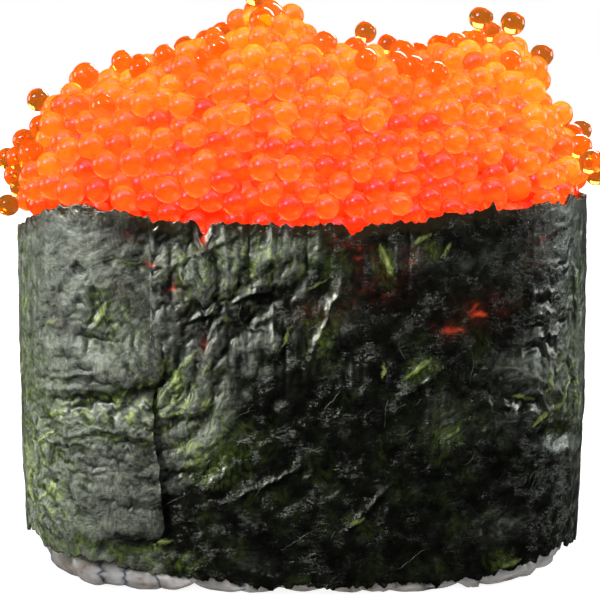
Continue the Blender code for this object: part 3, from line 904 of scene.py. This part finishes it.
def make_rice(material, seed):
    """Cooked grains over the block's lower edge and underside."""
    rng = np.random.default_rng(seed)
    tree, _, _ = cad_surface("rice")
    foot_s = np.arange(0, PERIMETER, GRAIN_SPACING)
    foot_s = foot_s + rng.uniform(-0.9, 0.9, len(foot_s))
    rows = []
    for level, inward in GRAIN_RINGS:
        s = foot_s + level * 1.1 + rng.uniform(-0.6, 0.6, len(foot_s))
        z = level + rng.uniform(-0.2, 0.5, len(s))
        inward = inward + 3.4 * bell(s - FRONT, 31.0, 8.0) + 2.0 * bell(s - FRONT, -29.0, 5.0)
        rows.append(wall(s, z, -inward + rng.uniform(-0.35, 0.35, len(s))))
    middle = list(np.concatenate(rows))
    under = np.stack([rng.uniform(-26, 26, 4000), rng.uniform(-14, 14, 4000), np.full(4000, 1.2)], axis=-1)
    for p in under[nearest(tree, under)[1] > 1.1]:
        if all((p - q) @ (p - q) > GRAIN_SPACING**2 for q in middle):
            middle.append(p)
    middle = np.array(middle)
    normal, _ = nearest(tree, middle)
    count = len(middle)
    angle = rng.normal(0.0, 0.75, count) * np.where(middle[:, 2] < 2.2, 0.3, 0.8)
    level = np.stack([-normal[:, 1], normal[:, 0], np.zeros(count)], axis=-1)
    flat = np.abs(normal[:, 2]) > 0.8
    level[flat] = np.array([1.0, 0.0, 0.0])
    angle[flat] = rng.uniform(0, math.pi, flat.sum())
    level /= np.linalg.norm(level, axis=1, keepdims=True)
    along = level * np.cos(angle)[:, None] + np.cross(normal, level) * np.sin(angle)[:, None]
    axes = np.stack([along, np.cross(normal, along), normal], axis=1)
    grain, faces = one_grain(12, 10)
    size = [rng.normal(mean, spread, count) for mean, spread in GRAIN_SIZE]
    bend = rng.normal(0, 0.12, (count, 1))
    body = grain[None] * np.stack(size, axis=-1)[:, None, :]
    body[..., 1] += bend * body[..., 0] ** 2
    body *= (1 + 0.12 * lattice(grain[None] * 1.7 + middle[:, None] * 3.1, 81))[..., None]
    verts = middle[:, None, :] + np.einsum("nvk,nkx->nvx", body, axes)
    verts[..., 2] = np.maximum(verts[..., 2], 0.02)
    # What would stand out of the wrap is pressed back inside it.
    marks = np.arange(0, PERIMETER, 0.25)
    ring, outward, foot = wall(marks, 2.0 + 0 * marks, 0 * marks)[:, :2], outline(marks)[1], nori_foot(marks)
    for body in verts:
        k = ((body[:, None, :2] - ring[None]) ** 2).sum(axis=-1).argmin(axis=1)
        depth = -((body[:, :2] - ring[k]) * outward[k]).sum(axis=-1)
        short = 1.1 * smooth(-0.3, 0.3, body[:, 2] - foot[k]) - depth
        body[:, :2] -= outward[k] * np.maximum(short * (body[:, 2] > foot[k] - 0.3), 0)[:, None]
    all_faces = [tuple(i + n * len(grain) for i in f) for n in range(count) for f in faces]
    mesh_piece("rice_grains", verts.reshape(-1, 3), all_faces, material, "rice")


# ---------------------------------------------------------------- materials


class Nodes:
    """A short way to build the node tree of a material or world."""

    def __init__(self, owner, shader="Principled BSDF"):
        owner.use_nodes = True
        self.tree = owner.node_tree
        self.shader = self.tree.nodes[shader]

    def plug(self, socket, value):
        """Link another node's output to a socket, or set the socket to a plain value."""
        if isinstance(value, bpy.types.NodeSocket):
            self.tree.links.new(value, socket)
        else:
            socket.default_value = value

    def set(self, **sockets):
        for name, value in sockets.items():
            self.plug(self.shader.inputs[name.replace("_", " ")], value)

    def node(self, kind, output=0, props=None, **inputs):
        """A new node's output. Its inputs are given by name, or by number as i0, i1 and so on."""
        made = self.tree.nodes.new(kind)
        for key, value in (props or {}).items():
            setattr(made, key, value)
        for name, value in inputs.items():
            by_number = name[0] == "i" and name[1:].isdigit()
            self.plug(made.inputs[int(name[1:]) if by_number else name.replace("_", " ")], value)
        return made.outputs[output]

    def position(self):
        """The point in the object's own frame, in millimetres."""
        place = self.node("ShaderNodeTexCoord", output="Object")
        return self.vector("SCALE", i0=place, Scale=MM_PER_METRE)

    def vector(self, operation, output=0, **inputs):
        return self.node("ShaderNodeVectorMath", output, {"operation": operation}, **inputs)

    def noise(self, place, scale, detail, rough, distortion=0.0, output="Fac"):
        settings = {"Scale": scale, "Detail": detail, "Roughness": rough, "Distortion": distortion}
        return self.node("ShaderNodeTexNoise", output, Vector=place, **settings)

    def ramp(self, value, *stops):
        """A colour for each value, from stops of a value, red, green and blue."""
        made = self.tree.nodes.new("ShaderNodeValToRGB")
        elements = made.color_ramp.elements
        while len(elements) < len(stops):
            elements.new(0.5)
        for element, (place, *colour) in zip(elements, stops):
            element.position = place
            element.color = (*colour, 1.0)
        self.plug(made.inputs["Fac"], value)
        return made.outputs["Color"]

    def maths(self, operation, a, b=0.0):
        return self.node("ShaderNodeMath", props={"operation": operation}, i0=a, i1=b)

    def plus(self, a, b):
        return self.maths("ADD", a, b)

    def times(self, a, b):
        return self.maths("MULTIPLY", a, b)

    def spread(self, value, low, high, new_low=0.0, new_high=1.0):
        """The values from low to high, spread from new_low to new_high."""
        return self.node("ShaderNodeMapRange", i0=value, i1=low, i2=high, i3=new_low, i4=new_high)

    def mix(self, share, a, b):
        """A colour between a and b."""
        return self.node("ShaderNodeMix", 2, {"data_type": "RGBA"}, i0=share, i6=a, i7=b)

    def attribute(self, name):
        return self.node("ShaderNodeAttribute", output="Fac", props={"attribute_name": name})

    def bump(self, height, strength, distance, **below):
        return self.node("ShaderNodeBump", Height=height, Strength=strength, Distance=distance, **below)


# The nori's fine threads: how far they lean in degrees, how close they lie and how wide they are.
THREADS = ((35, 0.9, 0.010), (-20, 1.1, 0.009), (75, 1.0, 0.008), (10, 2.0, 0.014), (55, 2.2, 0.014))


def nori_material():
    material = bpy.data.materials.new("nori")
    n = Nodes(material)
    place = n.position()
    tone = n.noise(place, 0.45, 5.0, 0.65)
    web = n.noise(place, 1.3, 6.0, 0.70, 1.2)
    warp = n.vector("SCALE", i0=n.noise(place, 0.8, 2.0, 0.6, output="Color"), Scale=1.4)
    patch = n.node("ShaderNodeTexVoronoi", "Color", Vector=n.vector("ADD", i0=place, i1=warp), Scale=0.42)
    patch = n.node("ShaderNodeSeparateColor", "Red", Color=patch)
    turn = {"Vector": place, "Angle": n.times(patch, 6.28)}
    turn = n.node("ShaderNodeVectorRotate", props={"rotation_type": "Y_AXIS"}, **turn)
    streak = n.noise(n.node("ShaderNodeMapping", Vector=turn, Scale=(1.0, 1.0, 0.16)), 4.2, 4.0, 0.62, 0.3)
    threads = None
    for degrees, scale, wide in THREADS:
        lean = (0.0, math.radians(degrees), 0.0)
        lean = n.node("ShaderNodeMapping", Vector=place, Rotation=lean, Scale=(0.35, 0.35, 1.0))
        line = n.maths("ABSOLUTE", n.maths("SUBTRACT", n.noise(lean, scale, 3.0, 0.55, 0.6), 0.5))
        line = n.spread(line, 0.0, wide, 1.0, 0.0)
        threads = n.maths("MAXIMUM", threads, line) if threads else line
    threads = n.times(threads, n.spread(n.noise(place, 0.6, 3.0, 0.6), 0.42, 0.62))
    dry, rim = n.attribute("dry"), n.attribute("rim")
    wet = n.ramp(tone, (0.40, 0.0006, 0.0007, 0.0005), (0.62, 0.0018, 0.0020, 0.0013))
    dust = n.plus(n.plus(n.times(web, 0.45), n.times(streak, 0.45)), n.times(patch, 0.12))
    bloom = n.ramp(dust, (0.38, 0.010, 0.011, 0.009), (0.50, 0.037, 0.041, 0.033), (0.62, 0.118, 0.126, 0.107))
    leaf = n.ramp(streak, (0.36, 0.003, 0.006, 0.001), (0.64, 0.034, 0.050, 0.004))
    lime = n.ramp(streak, (0.36, 0.035, 0.050, 0.006), (0.64, 0.185, 0.225, 0.055))
    # The dry share's pale bloom is partly real dry dust and partly a painted sheen, and carries the painted
    # light and shade laid into the dry share.
    colour = n.mix(dry, wet, bloom)
    colour = n.mix(n.attribute("green"), colour, leaf)
    colour = n.mix(n.attribute("lime"), colour, lime)
    colour = n.mix(n.times(threads, n.times(n.plus(dry, 0.06), 0.55)), colour, (0.16, 0.17, 0.13, 1.0))
    colour = n.mix(rim, colour, (0.014, 0.008, 0.003, 1.0))
    # The roe's light through the sheet is painted into the colour as a reddish glow.
    glow = n.attribute("glow")
    painted_glow_colour = n.ramp(glow, (0.0, 0.010, 0.002, 0.0), (0.5, 0.035, 0.004, 0.001), (1.0, 0.30, 0.022, 0.002))
    colour = n.mix(glow, colour, painted_glow_colour)
    rough = n.spread(web, 0.35, 0.65, 0.22, 0.32)
    dull = n.plus(n.times(dry, 0.20), n.times(n.attribute("dull"), 0.14))
    dull = n.times(dull, n.maths("SUBTRACT", 1.0, rim))
    n.set(Base_Color=colour, Roughness=n.plus(rough, dull), IOR=1.5)
    shown = n.spread(dry, 0.0, 1.0, 0.05, 1.0)
    lumps = n.bump(n.times(web, shown), 0.3, 0.00012)
    ribs = n.bump(n.times(streak, shown), 0.8, 0.00015, Normal=lumps)
    n.set(Normal=n.bump(threads, 0.5, 0.00004, Normal=ribs))
    return material


def fibre_material():
    material = bpy.data.materials.new("nori_fibres")
    n = Nodes(material)
    place = n.position()
    colour = n.ramp(n.noise(place, 0.7, 2.0, 0.5), (0.35, 0.01, 0.012, 0.006), (0.65, 0.05, 0.06, 0.04))
    n.set(Base_Color=colour, Roughness=0.3, Normal=n.bump(n.noise(place, 6.0, 3.0, 0.6), 0.3, 0.00005))
    return material


def roe_material(name, transmission, rough, coat, low, high):
    """The see-through skin of the eggs, from a low to a high colour by their colour share, random tone with
    painted light.
    """
    material = bpy.data.materials.new(name)
    n = Nodes(material)
    colour = n.ramp(n.attribute("tint"), (0.0, *low), (1.0, *high))
    n.set(Base_Color=colour, Roughness=rough, IOR=1.36, Transmission_Weight=transmission)
    n.set(Subsurface_Weight=1.0, Subsurface_Radius=(1.0, 0.5, 0.2), Subsurface_Scale=0.003)
    n.set(Specular_Tint=(1.0, 0.40, 0.90, 1.0), Specular_IOR_Level=0.9)
    n.set(Coat_Weight=coat, Coat_Roughness=0.06, Coat_IOR=1.4)
    return material


def core_material():
    material = bpy.data.materials.new("roe_core")
    n = Nodes(material)
    mottle = n.noise(n.position(), 0.5, 3.0, 0.6)
    n.set(Base_Color=n.ramp(mottle, (0.3, 0.6, 0.02, 0.002), (0.7, 0.8, 0.05, 0.004)), Roughness=0.3)
    return material


def rice_material():
    material = bpy.data.materials.new("rice")
    n = Nodes(material)
    place = n.position()
    # The rice is painted a dim grey, as painted shade for the shade it lies in at the sushi's foot, with random
    # warmer and paler patches.
    stops = ((0.3, 0.16, 0.115, 0.085), (0.42, 0.25, 0.235, 0.22), (0.7, 0.37, 0.37, 0.365))
    colour = n.ramp(n.noise(place, 0.5, 3.0, 0.6), *stops)
    n.set(Base_Color=colour, Roughness=0.25, IOR=1.4, Transmission_Weight=0.25)
    n.set(Subsurface_Weight=1.0, Subsurface_Radius=(1.0, 0.9, 0.8), Subsurface_Scale=0.0015)
    n.set(Normal=n.bump(n.noise(place, 2.5, 4.0, 0.6), 0.25, 0.0001))
    return material


# ---------------------------------------------------------------- the studio

# How bright the surroundings are to the camera, to matt surfaces and through see-through ones.
SURROUNDINGS = (("Is Camera Ray", 1.0), ("Is Diffuse Ray", 1.0), ("Is Transmission Ray", 0.15))
FLOOR_HALF = 1.5
LIGHTS_AIM = Vector((0, 0, 0.03))

# Soft lights, in metres: name, which way from the sushi, the way the long side lies, how far, size, how bright
# the face is, colour, and the pieces lit.
DULL = ("rice", "roe_orange", "roe_inner", "roe_core")
BEHIND = ("roe_clear", "nori", "rice")
SOFTBOXES = (
    ("key", (-0.54, -0.64, 0.54), (0, 0, 1), 0.45, (0.15, 0.15), 30, (1.0, 0.70, 0.85), ("roe",)),
    ("strip", (0.62, -0.23, 0.745), (0.745, 0, -0.62), 0.45, (0.30, 0.02), 40, (1.0, 1.0, 1.0), ("roe",)),
    ("card", (-0.80, -0.46, 0.42), (0.15, 0, 1), 0.45, (0.22, 0.15), 52, (0.95, 1.0, 0.87), ("nori",)),
    ("top", (0.06, -0.30, 1.0), (1, 0, 0), 0.60, (0.70, 0.60), 7, (1.0, 1.0, 1.0), DULL),
    ("fill", (0.0, -0.62, 0.78), (1, 0, 0), 0.60, (0.50, 0.30), 6, (1.0, 1.0, 1.0), DULL),
    ("rear", (0.35, 0.85, 0.55), (1, 0, 0), 0.45, (0.26, 0.16), 14, (1.0, 0.98, 0.92), BEHIND),
    ("side", (0.95, 0.25, 0.15), (0, 0, 1), 0.45, (0.16, 0.24), 6, (0.90, 1.0, 0.93), None),
    ("edge", (0.96, -0.17, 0.22), (0, 0, 1), 0.45, (0.14, 0.08), 26, (0.95, 1.0, 0.90), ("nori",)),
    ("left", (-0.95, 0.10, 0.15), (0, 0, 1), 0.45, (0.16, 0.24), 6, (0.93, 1.0, 0.90), None),
)


def studio():
    """A pale floor, pale surroundings and soft lights."""
    scene = bpy.context.scene
    scene.view_settings.view_transform = "Standard"
    scene.world = bpy.data.worlds.new("studio")
    n = Nodes(scene.world, "Background")
    path = n.tree.nodes.new("ShaderNodeLightPath")
    level = 0.0
    for ray, strength in SURROUNDINGS:
        ray = path.outputs[ray]
        level = n.node("ShaderNodeMath", props={"operation": "MULTIPLY_ADD"}, i0=ray, i1=strength, i2=level)
    n.set(Color=(1.0, 1.0, 1.0, 1.0), Strength=level)

    mesh = bpy.data.meshes.new("floor")
    corners = [(x * FLOOR_HALF, y * FLOOR_HALF, 0) for x, y in ((-1, -1), (1, -1), (1, 1), (-1, 1))]
    mesh.from_pydata(corners, [], [(0, 1, 2, 3)])
    material = bpy.data.materials.new("floor")
    n = Nodes(material)
    glow = n.spread(n.vector("LENGTH", "Value", i0=n.position()), 60.0, 400.0, 0.80, 1.02)
    n.set(Base_Color=(0.6, 0.6, 0.6, 1.0), Roughness=0.9, Specular_IOR_Level=0.1)
    n.set(Emission_Color=(1.0, 1.0, 1.0, 1.0), Emission_Strength=glow)
    material.cycles.emission_sampling = "NONE"
    mesh.materials.append(material)
    floor = bpy.data.objects.new("floor", mesh)
    scene.collection.objects.link(floor)
    floor.visible_glossy = floor.visible_diffuse = floor.visible_transmission = False

    for box in SOFTBOXES:
        softbox(*box)
    bpy.data.lights["key"].shape = "DISK"
    for name in ("top", "fill"):
        bpy.data.objects[name].visible_glossy = False


def softbox(name, direction, along, distance, size, brightness, colour, lit):
    """A rectangular light that faces the sushi. Its brightness is that of its face. It lights the pieces whose
    names start as lit says, or all of them."""
    data = bpy.data.lights.new(name, "AREA")
    data.shape = "RECTANGLE"
    data.size, data.size_y = size
    data.energy = brightness * math.pi * size[0] * size[1]
    data.color = colour
    light = bpy.data.objects.new(name, data)
    bpy.context.scene.collection.objects.link(light)
    back = Vector(direction).normalized()
    side = (Vector(along) - Vector(along).dot(back) * back).normalized()
    turn = Matrix((side, back.cross(side), back)).transposed()
    light.matrix_world = Matrix.Translation(LIGHTS_AIM + back * distance) @ turn.to_4x4()
    light.visible_camera = False
    if lit:
        group = bpy.data.collections.new("lit_by_" + name)
        for thing in bpy.context.scene.objects:
            if thing.name.startswith(lit):
                group.objects.link(thing)
        light.light_linking.receiver_collection = group


def camera():
    """The camera looks slightly down at the front from a hand's breadth away."""
    distance, pitch, target = 0.130, math.radians(8.7), Vector((0, 0, 0.028))
    data = bpy.data.cameras.new("camera")
    data.lens, data.sensor_width, data.clip_start = 77.7, 36.0, 0.005
    data.shift_x, data.shift_y = -2.5 / 600, -0.05
    view = bpy.data.objects.new("camera", data)
    bpy.context.scene.collection.objects.link(view)
    view.location = target + distance * Vector((0, -math.cos(pitch), math.sin(pitch)))
    view.rotation_euler = (math.pi / 2 - pitch, 0, 0)
    bpy.context.scene.camera = view


# ---------------------------------------------------------------- putting it together

sheet = Sheet()
make_nori(sheet, nori_material())
make_fibres(sheet, fibre_material(), 150, 5)

middle, radius, normal, depth = pack_eggs(9)
packed = len(middle)
deep = depth > 2.3 * EGG_RADIUS
skyline = ~deep & (depth < 0.75 * EGG_RADIUS) & ((normal[:, 2] > 0.8) | (np.abs(middle[:, 0]) > 25))
shown = np.nonzero(~deep & ~skyline)[0]
shown = shown[np.argsort(middle[shown][:, 0])]
middle, radius = drop_loose(middle, radius, 4)
clear = np.concatenate([np.nonzero(skyline)[0], np.arange(packed, len(middle))])
# Each egg's colour share: higher eggs and those towards the ends are painted lighter and yellower, as painted
# light from above and through the heap's thin ends, with random tone added.
tint = 0.52 * (middle[:, 2] - NORI_TOP) / 18.0 + 0.35 * (np.abs(middle[:, 0]) / 28.0) ** 3 - 0.06
tint = np.clip(tint + np.random.default_rng(3).normal(0, 0.11, len(tint)), 0, 1)


def eggs(pick):
    return middle[pick], radius[pick], tint[pick]


orange = roe_material("roe_orange", 0.65, 0.24, 0.12, (1.0, 0.055, 0.006), (1.0, 0.38, 0.02))
for n, group in enumerate(np.array_split(shown, math.ceil(len(shown) / EGGS_PER_PIECE))):
    make_eggs(f"roe_orange_{n + 1}", eggs(group), 3, orange, 20 + n)
glassy = roe_material("roe_clear", 0.9, 0.05, 0.4, (1.0, 0.30, 0.025), (1.0, 0.45, 0.05))
make_eggs("roe_clear", eggs(clear), 3, glassy, 31)
inside = roe_material("roe_inner", 0.0, 0.3, 0.0, (0.9, 0.022, 0.002), (1.0, 0.14, 0.010))
make_eggs("roe_inner", eggs(np.nonzero(deep)[0]), 2, inside, 30)
make_core("roe_core", "roe", 3.4, 0.8, 0.8, core_material())
rice = rice_material()
make_rice(rice, 12)
make_core("rice_core", "rice", 0.55, 0.7, 0.6, rice)

studio()
camera()
